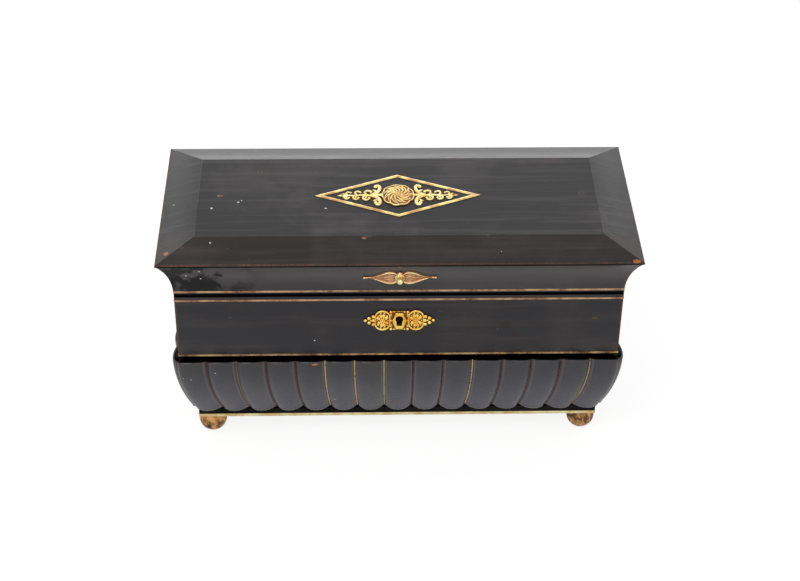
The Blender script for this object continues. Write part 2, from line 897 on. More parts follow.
@dataclass(frozen=True)
class PlainDeal(Finish):
    """Bare deal with its grain along the box."""

    pale: Colour = srgb(176, 132, 86)
    ring: Colour = srgb(140, 96, 58)
    pore: Colour = srgb(96, 62, 38)

    def make(self, bench: Bench) -> bpy.types.Material:
        """Puts the deal together.

        Args:
            bench: The bench of the material.

        Returns:
            The material.
        """
        grain = bench.noise(38, 4, 0.6, stretch=(0.1, 5.0, 2.0))
        pores = bench.noise(500, 3, 0.6, stretch=(0.06, 1.0, 1.0))
        colour = bench.blend(grain.rise(0.35, 0.65), self.pale, self.ring)
        colour = bench.blend(pores.rise(0.55, 0.7) * 0.5, colour, self.pore)
        return bench.finish(colour, 0.62 + pores * 0.1, bump=grain + pores * 0.5, depth=0.15 * MM)


@dataclass(frozen=True)
class LiningPaper(Finish):
    """Dark red lining paper with faded fibres."""

    red: Colour = srgb(104, 34, 36)
    pale: Colour = srgb(132, 62, 54)
    fibre: Colour = srgb(150, 92, 78)

    def make(self, bench: Bench) -> bpy.types.Material:
        """Puts the paper together.

        Args:
            bench: The bench of the material.

        Returns:
            The material.
        """
        fibres = bench.noise(650, 4, 0.7, stretch=(1.0, 0.35, 1.0))
        faded = bench.noise(12, 4, 0.6, shift=2.0)
        colour = bench.blend(faded.rise(0.35, 0.7), self.red, self.pale)
        colour = bench.blend(fibres.rise(0.52, 0.7) * 0.45, colour, self.fibre)
        return bench.finish(colour, 0.78 + fibres * 0.1, bump=fibres + faded, depth=0.12 * MM)


# Mesh building


def face_mesh(shape: bmesh.types.BMesh, name: str, sharp: float = 38.0) -> bpy.types.Object:
    """Turns a shape into a piece with smooth faces and sharp arrises.

    Args:
        shape: The shape, which is used up.
        name: The piece's name.
        sharp: Angle in degrees from which an arris stays sharp.

    Returns:
        The piece.
    """
    limit = math.radians(sharp)
    for face in shape.faces:
        face.smooth = True
    for edge in shape.edges:
        edge.smooth = not (len(edge.link_faces) == 2 and edge.calc_face_angle(0.0) > limit)
    mesh = bpy.data.meshes.new(name)
    shape.to_mesh(mesh)
    shape.free()
    piece = bpy.data.objects.new(name, mesh)
    bpy.context.scene.collection.objects.link(piece)
    return piece


def bevel_arrises(
    shape: bmesh.types.BMesh, width: float, chosen: Callable[[bmesh.types.BMEdge], bool],
    sharp: float = 0.4, steps: int = 2,
) -> None:
    """Rounds the sharp arrises of a shape.

    Args:
        shape: The shape.
        width: Width of the rounding.
        chosen: Says which edges are rounded.
        sharp: Angle in radians from which an edge counts as an arris.
        steps: Segments across the rounding.
    """
    edges = [
        edge for edge in shape.edges
        if len(edge.link_faces) == 2 and edge.calc_face_angle(0.0) > sharp and chosen(edge)
    ]
    bmesh.ops.bevel(
        shape, geom=edges, offset=width, offset_type="OFFSET", affect="EDGES", segments=steps,
        profile=0.5, material=-1, clamp_overlap=True,
    )


def copy_of_node(node: str) -> bmesh.types.BMesh:
    """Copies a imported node's mesh, merges its doubles and joins its flat triangles.

    Args:
        node: The node's name.

    Returns:
        The copy.
    """
    shape = bmesh.new()
    shape.from_mesh(bpy.data.objects[node].data)
    bmesh.ops.remove_doubles(shape, verts=shape.verts, dist=2e-6)
    bmesh.ops.dissolve_limit(
        shape, angle_limit=math.radians(0.6), verts=shape.verts, edges=shape.edges,
        use_dissolve_boundaries=False,
    )
    bmesh.ops.recalc_face_normals(shape, faces=shape.faces)
    return shape


def lay_grid(
    shape: bmesh.types.BMesh, across: int, along: int, place: Place, welded: bool = True
) -> None:
    """Adds a grid whose points are put in place one by one, and welds where they meet.

    Args:
        shape: The shape that gets the grid.
        across: Cells in the first direction.
        along: Cells in the second direction.
        place: Where the point at two shares from 0 to 1 goes.
        welded: Whether points that fall together are merged.
    """
    made = bmesh.ops.create_grid(shape, x_segments=across, y_segments=along, size=0.5)
    verts = made["verts"]
    for vert in verts:
        vert.co = place(vert.co.x + 0.5, vert.co.y + 0.5)
    if welded:
        bmesh.ops.remove_doubles(shape, verts=verts, dist=1e-6)


def close_ends(shape: bmesh.types.BMesh) -> None:
    """Closes open ends and turns all faces outwards.

    Args:
        shape: The shape.
    """
    rims = [edge for edge in shape.edges if edge.is_boundary]
    if rims:
        bmesh.ops.holes_fill(shape, edges=rims, sides=0)
    bmesh.ops.recalc_face_normals(shape, faces=shape.faces)


def ray_reach(outline: Outline, angle: float) -> float:
    """Measures an outline from its middle in one direction.

    Args:
        outline: Corners of an outline that its middle sees whole.
        angle: The direction, in radians.

    Returns:
        The distance from the middle to the outline.
    """
    dx, dy = math.cos(angle), math.sin(angle)
    best = 0.0
    for (ax, ay), (bx, by) in zip(outline, [*outline[1:], outline[0]]):
        ex, ey = bx - ax, by - ay
        cross = dx * ey - dy * ex
        if abs(cross) < 1e-12:
            continue
        reach = (ax * ey - ay * ex) / cross
        share = (ax * dy - ay * dx) / cross
        if reach > 0 and -1e-9 <= share <= 1 + 1e-9:
            best = max(best, reach)
    return best


def circle(radius: float, steps: int, start: float = 0.0) -> list[tuple[float, float]]:
    """Gives points round a circle.

    Args:
        radius: Its radius.
        steps: How many points.
        start: Where the first one lies, as a share of the step between two.

    Returns:
        The points.
    """
    angles = [2 * math.pi * (step + start) / steps for step in range(steps)]
    return [(radius * math.cos(angle), radius * math.sin(angle)) for angle in angles]


def stadium(width: float, height: float, steps: int = 48) -> list[tuple[float, float]]:
    """Gives the outline of an upright oval with round ends.

    Args:
        width: Its width.
        height: Its height.
        steps: Points round it.

    Returns:
        The outline.
    """
    rise = (height - width) / 2
    return [(x, y + math.copysign(rise, y)) for x, y in circle(width / 2, steps, 0.5)]


class Relief:
    """A pressed mount, built flat in millimetres over its own seat.

    Its places are (along, up, out): along the box, up the surface and out of it.
    """

    BEAD_CELLS = (14, 8)
    ROPE_SIDES = 10
    LEAF_CELLS = (10, 12)

    def __init__(self) -> None:
        """Starts with nothing on the seat."""
        self.shape = bmesh.new()

    def lump(self, across: int, along: int, place: Callable[[float, float], Spot]) -> None:
        """Adds one closed lump to the mount.

        Args:
            across: Cells in the first direction.
            along: Cells in the second direction.
            place: Where the point at two shares from 0 to 1 goes.
        """
        part = bmesh.new()
        lay_grid(part, across, along, lambda u, v: Vector(place(u, v)))
        close_ends(part)
        mesh = bpy.data.meshes.new("part")
        part.to_mesh(mesh)
        part.free()
        self.shape.from_mesh(mesh)
        bpy.data.meshes.remove(mesh)

    def collar(
        self, outer: Outline, inner: Outline | None, rows: Outline,
        centre: tuple[float, float] = (0.0, 0.0), turns: int = 72,
    ) -> None:
        """Adds a ring or disc between two outlines.

        Args:
            outer: The outer outline.
            inner: The inner outline, or none for a disc.
            rows: Pairs of share from the inner to the outer outline, and height.
            centre: Where its middle lies.
            turns: Points round it.
        """
        def place(u: float, v: float) -> Spot:
            """Puts the point at a share of the turn and a share of the rows.

            Args:
                u: Share of the turn.
                v: Share of the rows.

            Returns:
                Its place on the mount.
            """
            angle = 2 * math.pi * u
            share, height = rows[round(v * (len(rows) - 1))]
            inward = ray_reach(inner, angle) if inner else 0.0
            reach = inward + (ray_reach(outer, angle) - inward) * share
            return (centre[0] + reach * math.cos(angle), centre[1] + reach * math.sin(angle), height)

        self.lump(turns, len(rows) - 1, place)

    def bead(self, along: float, up: float, out: float, radius: float, flat: float = 1.0) -> None:
        """Adds a round bead.

        Args:
            along: Its middle along the box.
            up: Its middle up the surface.
            out: Its middle out of the surface.
            radius: Its radius.
            flat: Its height over its width.
        """
        def place(u: float, v: float) -> Spot:
            """Puts the point at a share of the turn and a share of the rise.

            Args:
                u: Share of the turn.
                v: Share of the way from the lowest to the highest point.

            Returns:
                Its place on the mount.
            """
            turn, tilt = 2 * math.pi * u, math.pi * (v - 0.5)
            return (
                along + radius * math.cos(tilt) * math.cos(turn),
                up + radius * math.cos(tilt) * math.sin(turn),
                max(0.0, out + radius * flat * math.sin(tilt)),
            )

        self.lump(*self.BEAD_CELLS, place)

    def rope(
        self, path: Outline, radii: Sequence[float], height: float, base: Sequence[float] | None = None,
        sunk: float = 0.2,
    ) -> None:
        """Adds a rounded rib along a flat path.

        Args:
            path: Points of its middle line.
            radii: Half its width at each point.
            height: How high it stands, as a share of half its width.
            base: Height of the ground under it at each point, or none on the flat.
            sunk: How high its middle line lies, as a share of half its width.
        """
        points = [Vector(point) for point in path]

        def place(u: float, v: float) -> Spot:
            """Puts the point at a share of the path and a share of the turn round it.

            Args:
                u: Share of the path.
                v: Share of the turn.

            Returns:
                Its place on the mount.
            """
            index = round(u * (len(points) - 1))
            before, after = points[max(index - 1, 0)], points[min(index + 1, len(points) - 1)]
            run = (after - before).normalized()
            turn = 2 * math.pi * v
            side = radii[index] * math.cos(turn)
            out = max(0.0, radii[index] * height * math.sin(turn) + radii[index] * sunk)
            out += base[index] if base else 0.0
            here = points[index] + Vector((-run.y, run.x)) * side
            return (here.x, here.y, out)

        self.lump(len(points) - 1, self.ROPE_SIDES, place)

    def leaf(
        self, root: tuple[float, float], angle: float, length: float, width: float, height: float,
        twist: float = 0.0, base: float = 0.0, ridge: float = 0.35,
    ) -> None:
        """Adds a leaf with a sunk midrib, which may curl sideways.

        Args:
            root: Where it grows from.
            angle: Its direction, in degrees.
            length: Its length.
            width: Its width at the widest.
            height: How far its two halves swell out.
            twist: How many degrees it turns on its way.
            base: Height of its underside.
            ridge: Depth of its midrib, as a share of the swell.
        """
        steps, ring = self.LEAF_CELLS
        start, bend = math.radians(angle), math.radians(twist)
        spine = [Vector(root)]
        for step in range(steps):
            course = start + bend * (step + 0.5) / steps
            spine.append(spine[-1] + Vector((math.cos(course), math.sin(course))) * (length / steps))

        def place(u: float, v: float) -> Spot:
            """Puts the point at a share of the length and a share of the turn round it.

            Args:
                u: Share of the length.
                v: Share of the turn.

            Returns:
                Its place on the mount.
            """
            index = round(u * steps)
            course = start + bend * u
            half = width / 2 * max(0.04, math.sin(math.pi * min(1.0, u * 0.94 + 0.06)) ** 0.75)
            turn = 2 * math.pi * v
            side = math.cos(turn)
            swell = max(0.0, math.sin(turn)) * (1 - ridge * math.exp(-((side / 0.28) ** 2)))
            swell *= math.sin(math.pi * min(1.0, 0.12 + 0.8 * u)) ** 0.6
            here = spine[index] + Vector((-math.sin(course), math.cos(course))) * (half * side)
            return (here.x, here.y, base + height * swell)

        self.lump(steps, ring, place)

    def scroll(
        self, centre: tuple[float, float], radius: float, start: float, turn: float,
        thick: float, tighten: float = 0.6, height: float = 1.2,
    ) -> None:
        """Adds a C-scroll that winds in and ends in a bead.

        Args:
            centre: Its middle.
            radius: Its radius at the start.
            start: Angle at which it starts, in degrees.
            turn: How far it turns, in degrees, with its sign.
            thick: Half its width at the start.
            tighten: Its last radius over its first.
            height: How high it stands over half its width.
        """
        steps = max(8, round(abs(turn) / 18))
        path, radii = [], []
        for step in range(steps + 1):
            share = step / steps
            angle = math.radians(start + turn * share)
            here = radius * (1 + (tighten - 1) * share ** 1.5)
            path.append((centre[0] + here * math.cos(angle), centre[1] + here * math.sin(angle)))
            radii.append(thick * (0.75 + 0.35 * math.sin(math.pi * share)))
        self.rope(path, radii, height)
        self.bead(*path[-1], 0.6 * thick, 1.35 * thick)

    def land(
        self, name: str, seat: Seat, ground: Callable[[float], float] | None = None
    ) -> bpy.types.Object:
        """Puts the mount on its seat.

        Args:
            name: The piece's name.
            seat: Turns a place on the mount, in millimetres, into a point of the frame.
            ground: Height of its ground at a distance from its middle, or none on the flat.

        Returns:
            The piece, which carries its height over the ground as the attribute relief.
        """
        heights = []
        for vert in self.shape.verts:
            low = ground(math.hypot(vert.co.x, vert.co.y)) if ground else 0.0
            heights.append(vert.co.z - low)
            vert.co = seat(vert.co.x, vert.co.y, vert.co.z)
        bmesh.ops.recalc_face_normals(self.shape, faces=self.shape.faces)
        piece = face_mesh(self.shape, name, 50)
        attribute = piece.data.attributes.new("relief", "FLOAT", "POINT")
        attribute.data.foreach_set("value", heights)
        return piece


# Sub-assemblies


@dataclass
class SubAssembly:
    """Pieces that ride on one body of the box."""

    frame: dict[str, object]
    levels: Levels
    body: str = "case"
    # Shorter edges stay as they are
    shortest_arris: float = 4 * MM

    def dress(self, nodes: Iterable[str], finish: Finish) -> None:
        """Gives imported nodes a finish.

        Args:
            nodes: Their names.
            finish: The finish.
        """
        for name in nodes:
            mesh = self.frame["nodes"][name].data
            mesh.materials.clear()
            mesh.materials.append(finish.material())
            log.info("dressed %s", name)

    def keep(self, piece: bpy.types.Object, finish: Finish, slot: Slot, *nodes: str) -> bpy.types.Object:
        """Takes a new piece on: its finish, its body and the nodes that it stands for.

        Args:
            piece: The piece.
            finish: Its finish.
            slot: The record's slot of that finish.
            nodes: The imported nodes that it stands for.

        Returns:
            The piece.
        """
        piece.data.materials.clear()
        piece.data.materials.append(finish.material())
        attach(piece, self.body)
        if nodes:
            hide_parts(*nodes)
        log.info("made %s, %d faces", piece.name, len(piece.data.polygons))
        return piece

    def soften(
        self, nodes: Iterable[str], finish: Finish, width: float, chosen: Callable[[Vector], bool]
    ) -> None:
        """Replaces packed wood with copies whose outer arrises are rounded.

        Args:
            nodes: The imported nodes.
            finish: Their finish.
            width: Width of the rounding.
            chosen: Says whether an edge's middle lies where arrises are rounded.
        """
        for name in nodes:
            shape = copy_of_node(name)
            bevel_arrises(
                shape, width,
                lambda edge: edge.calc_length() > self.shortest_arris
                and chosen((edge.verts[0].co + edge.verts[1].co) / 2),
            )
            self.keep(face_mesh(shape, name + "_wood"), finish, Slot.WOOD, name)

    def inset_of(self, point: Vector) -> float:
        """Gives a point's inset from the eave."""
        return min(self.levels.half_l - abs(point.x), self.levels.half_d - abs(point.y))


@dataclass
class LidWoodwork(SubAssembly):
    """The lid's field, its four sloping borders and its four hollow mouldings."""

    body: str = "lid"
    rounding: float = 0.45 * MM

    def build(self) -> None:
        """Softens the lid's wood and finishes it."""
        finish = EbonisedLacquer("lid_lacquer", self.levels, LID_MARKS)
        sides = ("front", "back", "left", "right")
        outer = self.levels.wall_in + 2 * MM
        self.soften(
            [f"slope_{side}" for side in sides], finish, self.rounding,
            lambda point: self.inset_of(point) < 0.6 * MM,
        )
        self.soften(
            [f"cavetto_{side}" for side in sides], finish, self.rounding,
            lambda point: self.inset_of(point) < outer and abs(point.z - self.levels.z_eave) > 3 * MM,
        )
        self.dress(["lid_panel"], finish)


@dataclass
class CaseWalls(SubAssembly):
    """The four walls of the case and its floor board."""

    rounding: float = 0.4 * MM

    def build(self) -> None:
        """Softens the walls' outer arrises and finishes them."""
        finish = EbonisedLacquer(
            "case_lacquer", self.levels, CASE_MARKS, ground=srgb(42, 40, 43), cloud=srgb(60, 55, 54)
        )
        outer = self.levels.wall_in + 0.3 * MM
        self.soften(
            ["case_front", "case_back", "case_left", "case_right"], finish, self.rounding,
            lambda point: self.inset_of(point) < outer,
        )
        self.dress(["floor_board"], PlainDeal("deal"))


@dataclass(frozen=True)
class Row:
    """A row of points along a length of moulding."""

    inset: float
    z: float
    # How much of the scallop at the lobes' foot it takes
    scallop: float = 0.0
    # Whether it follows the lobes in and out
    bowed: bool = True


@dataclass
class GadroonedBase(SubAssembly):
    """The gadrooned moulding: bowed lobes between seams that were gilt."""

    lobe_in: float = 6.5 * MM
    lobe_draw: float = 14 * MM
    lobe_power: float = 1.8
    seam_depth: float = 4.5 * MM
    seam_power: float = 2.4
    # How much of the seams' depth is lost towards the foot
    seam_flare: float = 0.3
    # How well the gilding has lasted on the other sides
    hidden_gilding: float = 0.12
    top_r: float = 3 * MM
    foot_r: float = 3.5 * MM
    scallop: float = 4 * MM
    lobes_long: int = 15
    lobes_short: int = 6
    # Places across half a lobe, closer together beside its seam
    stations: tuple[float, ...] = (0.0, 0.3, 0.52, 0.68, 0.79, 0.865, 0.915, 0.95, 0.975, 1.0)
    # The front's seams whose gilding has lasted, by their number from the left, and how well
    lasting: dict[int, float] = field(
        default_factory=lambda: {2: 0.25, 5: 0.9, 6: 0.95, 7: 0.8, 10: 0.9, 14: 0.75}
    )

    def profile(self, rows: int = 30) -> list[Row]:
        """Works out the lobes' crest from the top to the foot.

        Args:
            rows: Steps down the face between its rolled ends.

        Returns:
            The rows.
        """
        top, foot = self.levels.z_wall - self.top_r, self.levels.z_base + self.foot_r

        def crest(z: float) -> float:
            """Gives the inset of the crest at a height."""
            share = max(0.0, (top - z) / (top - self.levels.z_base))
            return self.lobe_in + self.lobe_draw * share ** self.lobe_power

        upper = [
            Row(self.lobe_in + self.top_r * (1 - math.sin(angle)), top + self.top_r * math.cos(angle))
            for angle in map(math.radians, (0, 22, 45, 68))
        ]
        face = [
            Row(crest(top + (foot - top) * row / rows), top + (foot - top) * row / rows, (row / rows) ** 4)
            for row in range(rows + 1)
        ]
        under = [
            Row(crest(foot) + self.foot_r * (1 - math.cos(angle)), foot - self.foot_r * math.sin(angle), 1.0)
            for angle in map(math.radians, (22, 45, 68, 90))
        ]
        return [*upper, *face, *under]

    def build(self) -> None:
        """Makes one length of moulding on each side."""
        finish = LobeLacquer("gadroon_lacquer", self.levels)
        for side in Side:
            self.length(side, finish)

    def length(self, side: Side, finish: Finish) -> None:
        """Makes the length of one side.

        Args:
            side: The side.
            finish: Its finish.
        """
        up = self.levels
        long = side in (Side.FRONT, Side.BACK)
        half, dist = (up.half_l, up.half_d) if long else (up.half_d, up.half_l)
        lobes = self.lobes_long if long else self.lobes_short
        inner_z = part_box("floor_board")[0].z
        ledge = up.half_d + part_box("base_moulding_front")[1].y
        outer = self.profile()
        hidden = (
            (outer[-1].inset + self.seam_depth, up.z_base), (ledge, up.z_base), (ledge, inner_z),
            (up.wall_inner, inner_z), (up.wall_inner, up.z_wall),
        )
        rows = [*outer, *(Row(inset, z, bowed=False) for inset, z in hidden), outer[0]]
        across = [-s for s in reversed(self.stations)][:-1] + list(self.stations)
        columns = [(lobe, w) for lobe in range(lobes) for w in (across if lobe == 0 else across[1:])]
        seam_of, gilt_of = [], []
        shape = bmesh.new()

        def place(u: float, v: float) -> Vector:
            """Puts the point at a share of the columns and a share of the rows.

            Args:
                u: Share of the columns.
                v: Share of the rows.

            Returns:
                Its place on the front or on what will be turned to its side.
            """
            lobe, w = columns[round(u * (len(columns) - 1))]
            row = rows[round(v * (len(rows) - 1))]
            inset, z = row.inset, row.z
            if row.bowed:
                bow = abs(w) ** self.seam_power
                rise = (z - up.z_base) / (up.z_wall - up.z_base)
                inset += self.seam_depth * (1 - self.seam_flare + self.seam_flare * rise) * bow
                z += self.scallop * row.scallop * bow
            share = -1 + (2 * lobe + 1 + w) / lobes
            return Vector((share * (half - inset), inset - dist, z))

        lay_grid(shape, len(columns) - 1, len(rows) - 1, place, welded=False)
        for vert in shape.verts:
            column, row = vert.index % len(columns), vert.index // len(columns)
            lobe, w = columns[column]
            seam = lobe + (1 if w > 0 else 0)
            seam_of.append(abs(w) if row < len(outer) else 0.0)
            gilt_of.append(self.lasting.get(seam, 0.0) if side is Side.FRONT else self.hidden_gilding)
        layer_seam = shape.verts.layers.float.new("seam")
        layer_gilt = shape.verts.layers.float.new("gilding")
        for vert, seam, gilt in zip(shape.verts, seam_of, gilt_of):
            vert[layer_seam], vert[layer_gilt] = seam, gilt
        bmesh.ops.remove_doubles(shape, verts=shape.verts, dist=2e-6)
        close_ends(shape)
        shape.transform(Matrix.Rotation(side.value * math.pi / 2, 4, "Z"))
        name = "base_moulding_" + side.name.lower()
        self.keep(face_mesh(shape, name + "_lobes", 60), finish, Slot.WOOD, name)


@dataclass
class Plinth(SubAssembly):
    """The plinth's rails under the gadroons."""

    rounding: float = 0.35 * MM

    def build(self) -> None:
        """Softens the rails and finishes them."""
        finish = EbonisedLacquer("plinth_lacquer", self.levels, ground=srgb(28, 27, 28))
        outer = self.levels.plinth_inset + 0.3 * MM
        self.soften(
            ["plinth_front", "plinth_back", "plinth_left", "plinth_right"], finish, self.rounding,
            lambda point: self.inset_of(point) < outer and point.z > self.levels.z_base - 1 * MM,
        )


@dataclass
class BallFeet(SubAssembly):
    """Four brass ball feet and the studs that hold them."""

    def build(self) -> None:
        """Finishes the feet."""
        feet = [f"foot_{y}_{x}" for y in ("front", "back") for x in ("left", "right")]
        self.dress(feet, PatinatedBrass("ball_foot_brass"))
        self.dress(["foot_studs"], LockIron("lock_iron"))


@dataclass
class GiltLines(SubAssembly):
    """The inlaid lines round the case and the edging of the plinth."""

    def build(self) -> None:
        """Finishes the lines, each with its own wear."""
        self.dress(["case_line", "lid_line"], WornLine("copper_line"))
        self.dress(
            ["foot_line"],
            WornLine("foot_gilding", light=srgb(196, 160, 112), deep=srgb(132, 92, 58), rub=0.40),
        )
        self.dress(
            ["plinth_edging"],
            WornLine("plinth_brass", light=srgb(250, 236, 184), deep=srgb(214, 178, 112), rub=0.26),
        )


@dataclass
class LozengeMount(SubAssembly):
    """The lozenge on the lid: its moulded band, the scrolls inside it and the rosette."""

    body: str = "lid"
    length: float = 142.0
    width: float = 64.0
    band: float = 3.6
    band_h: float = 0.9
    scroll_l: float = 104.0
    rosette_r: float = 14.2
    # How much longer the rosette is across the lid than along it
    rosette_oval: float = 1.12
    rosette_leaves: int = 11
    rosette_twist: float = 1.5
    rosette_scallops: int = 9
    dome_rim: float = 0.7
    dome_rise: float = 1.5
    # The C-scroll beside the rosette, from the stem to its curled end
    hook: tuple[tuple[float, float], ...] = (
        (23.5, 0.6), (21.0, 1.3), (18.7, 2.7), (16.9, 4.8), (15.8, 7.3), (15.3, 9.9), (15.4, 12.3),
        (16.5, 14.0), (18.3, 13.9), (19.0, 12.2),
    )
    # The wavy stem of an arm, from its start to how far it ends before the arm's tip
    stem_from: float = 12.5
    stem_back: float = 8.0
    stem_sway: float = 0.5
    # The pairs of C-scrolls along an arm: the place and the radius of each
    knots: tuple[tuple[float, float], ...] = ((24.8, 3.7), (33.6, 3.2), (41.6, 2.7))
    # The leaves that end an arm: their lean in degrees and their length
    tip_leaves: tuple[tuple[float, float], ...] = ((-38, 5.2), (0, 8.4), (38, 5.2))

    def seat(self, along: float, up: float, out: float) -> Vector:
        """Puts a place of the mount on the lid's field."""
        return Vector((along * MM, up * MM, self.levels.z_field + out * MM))

    def band_piece(self) -> bpy.types.Object:
        """Makes the moulded band, mitred at its corners.

        Returns:
            The piece.
        """
        half_l, half_w = self.length / 2, self.width / 2
        corners = [(half_l, 0), (0, half_w), (-half_l, 0), (0, -half_w)]
        draw = 2 * math.hypot(self.length, self.width) / (self.length * self.width)
        # Share of the band's width and of its height
        across = [
            (0.0, -0.5), (0.0, 0.35), (0.1, 0.55), (0.24, 0.6), (0.38, 0.85), (0.5, 1.0), (0.62, 0.85),
            (0.76, 0.6), (0.9, 0.55), (1.0, 0.35), (1.0, -0.5), (0.0, -0.5),
        ]
        relief = Relief()
        pieces_per_side = 10

        def place(u: float, v: float) -> Spot:
            """Puts the point at a share of the way round and a share of the section.

            Args:
                u: Share of the way round.
                v: Share of the section.

            Returns:
                Its place on the mount.
            """
            step = round(u * 4 * pieces_per_side)
            side, share = divmod(step, pieces_per_side)
            (ax, ay), (bx, by) = corners[side % 4], corners[(side + 1) % 4]
            share /= pieces_per_side
            inward, out = across[round(v * (len(across) - 1))]
            scale = 1 - draw * inward * self.band
            x, y = ax + (bx - ax) * share, ay + (by - ay) * share
            return (x * scale, y * scale, out * self.band_h)

        relief.lump(4 * pieces_per_side, len(across) - 1, place)
        return relief.land("lozenge_band", self.seat)

    def arm(self, relief: Relief, way: int) -> None:
        """Adds one arm of scrolls.

        Args:
            relief: The mount.
            way: 1 to the right of the rosette, -1 to its left.
        """
        def mirrored(x: float, y: float) -> tuple[float, float]:
            """Gives a place of the right arm on this one."""
            return (way * x, y)

        def turned(degrees: float) -> float:
            """Gives a direction of the right arm on this one."""
            return degrees if way > 0 else 180 - degrees

        tip = self.scroll_l / 2
        shares = [step / 14 for step in range(15)]
        run = tip - self.stem_back - self.stem_from
        stem = [
            mirrored(self.stem_from + run * share, self.stem_sway * math.sin(4.5 * math.pi * share))
            for share in shares
        ]
        relief.rope(stem, [1.15 - 0.4 * share for share in shares], 1.2)
        last = len(self.hook) - 1
        swelling = [1.25 + 0.45 * math.sin(math.pi * step / last) for step in range(last + 1)]
        for flip in (1, -1):
            hook = [mirrored(x, flip * y) for x, y in self.hook]
            relief.rope(hook, swelling, 1.1)
            relief.bead(*hook[-1], 0.8, 1.7, 0.9)
            relief.leaf(mirrored(17.6, flip * 5.2), turned(flip * 62), 5.4, 2.4, 1.1, twist=-50 * flip * way)
        for index, (x, radius) in enumerate(self.knots):
            for flip in (1, -1):
                shift = 0.0 if flip > 0 else 1.6
                relief.scroll(
                    mirrored(x + shift, flip * (radius + 0.4)), radius, turned(flip * -90),
                    way * flip * 250, thick=0.95 - 0.1 * index, tighten=0.55, height=1.25,
                )
            for flip in (1, -1):
                relief.leaf(mirrored(x + 1.2, flip * 0.8), turned(flip * 62), 4.6 - 0.6 * index, 2.0, 1.0)
        for lean, length in self.tip_leaves:
            relief.leaf(mirrored(tip - 8.8, 0), turned(lean), length, 2.3, 1.1)

    def scrolls(self) -> bpy.types.Object:
        """Makes the pierced scrolls on both sides of the rosette.

        Returns:
            The piece.
        """
        relief = Relief()
        for way in (1, -1):
            self.arm(relief, way)
        return relief.land("lid_scrolls", self.seat)

    def rosette(self) -> bpy.types.Object:
        """Makes the domed rosette of twisted leaves inside a scalloped rim.

        Returns:
            The piece.
        """
        relief = Relief()
        reach = self.rosette_r * 0.95

        def dome(radius: float) -> float:
            """Gives the height of the ground at a distance from the middle."""
            return self.dome_rim + self.dome_rise * (1 - (radius / reach) ** 2)

        shares = [1 - step / 8 for step in range(9)]
        ground = [(1.0, 0.0), *((share, dome(share * reach)) for share in shares), (0.0, 0.0), (1.0, 0.0)]
        relief.collar(circle(reach, 48), None, ground)
        rim_steps = 72
        path, base = [], []
        for step in range(rim_steps + 1):
            angle = 2 * math.pi * step / rim_steps
            out = reach - 0.9 + 1.1 * abs(math.sin(self.rosette_scallops / 2 * angle))
            path.append((out * math.cos(angle), out * math.sin(angle)))
            base.append(dome(min(out, reach)) - 0.2)
        relief.rope(path, [0.62] * len(path), 1.1, base)
        # Leaf edges that wind outwards, two to each leaf, and a thinner rib between them
        ribs = ((-0.15, 0.42, 2.0), (0.15, 0.42, 2.0), (0.0, 0.26, 5.0))
        shares = [step / 12 for step in range(13)]
        swelling = [0.7 + 0.5 * math.sin(math.pi * share) for share in shares]
        for step in range(self.rosette_leaves):
            first = 2 * math.pi * step / self.rosette_leaves
            for offset, thick, start in ribs:
                line, under = [], []
                for share in shares:
                    out = start + (reach - 1.2 - start) * share
                    swell = offset * math.sin(math.pi * min(1.0, 0.15 + 0.85 * share)) * 1.5
                    angle = first + self.rosette_twist * (out / reach) ** 1.3 + swell
                    line.append((out * math.cos(angle), out * math.sin(angle)))
                    under.append(dome(out) - 0.15)
                relief.rope(line, [thick * swell for swell in swelling], 1.5, under)
        for x, y in circle(1.6, 6):
            relief.bead(x, y, 2.2, 0.75, 0.8)
        relief.bead(0, 0, 2.3, 0.8, 0.8)
        return relief.land(
            "rosette_leaves", lambda along, up, out: self.seat(along, self.rosette_oval * up, out), dome
        )

    def build(self) -> None:
        """Makes the mount and finishes it."""
        band_brass = PressedBrass(
            "lozenge_brass", low=0.1, high=0.8,
            bright=srgb(255, 236, 158), warm=srgb(200, 152, 104), dark=srgb(110, 74, 52),
        )
        scroll_brass = PressedBrass(
            "scroll_brass", low=0.0, high=1.0,
            bright=srgb(255, 242, 178), warm=srgb(238, 206, 128), dark=srgb(130, 92, 50),
        )
        rosette_brass = PressedBrass(
            "rosette_brass", low=0.15, high=0.5,
            bright=srgb(255, 238, 164), warm=srgb(240, 200, 122), dark=srgb(140, 88, 60),
        )
        self.keep(self.band_piece(), band_brass, Slot.GILT, "lozenge_frame")
        self.keep(self.scrolls(), scroll_brass, Slot.GILT, "scroll_mount")
        self.keep(self.rosette(), rosette_brass, Slot.GILT, "rosette")
        self.dress(["mount_pins"], PatinatedBrass("pin_brass"))


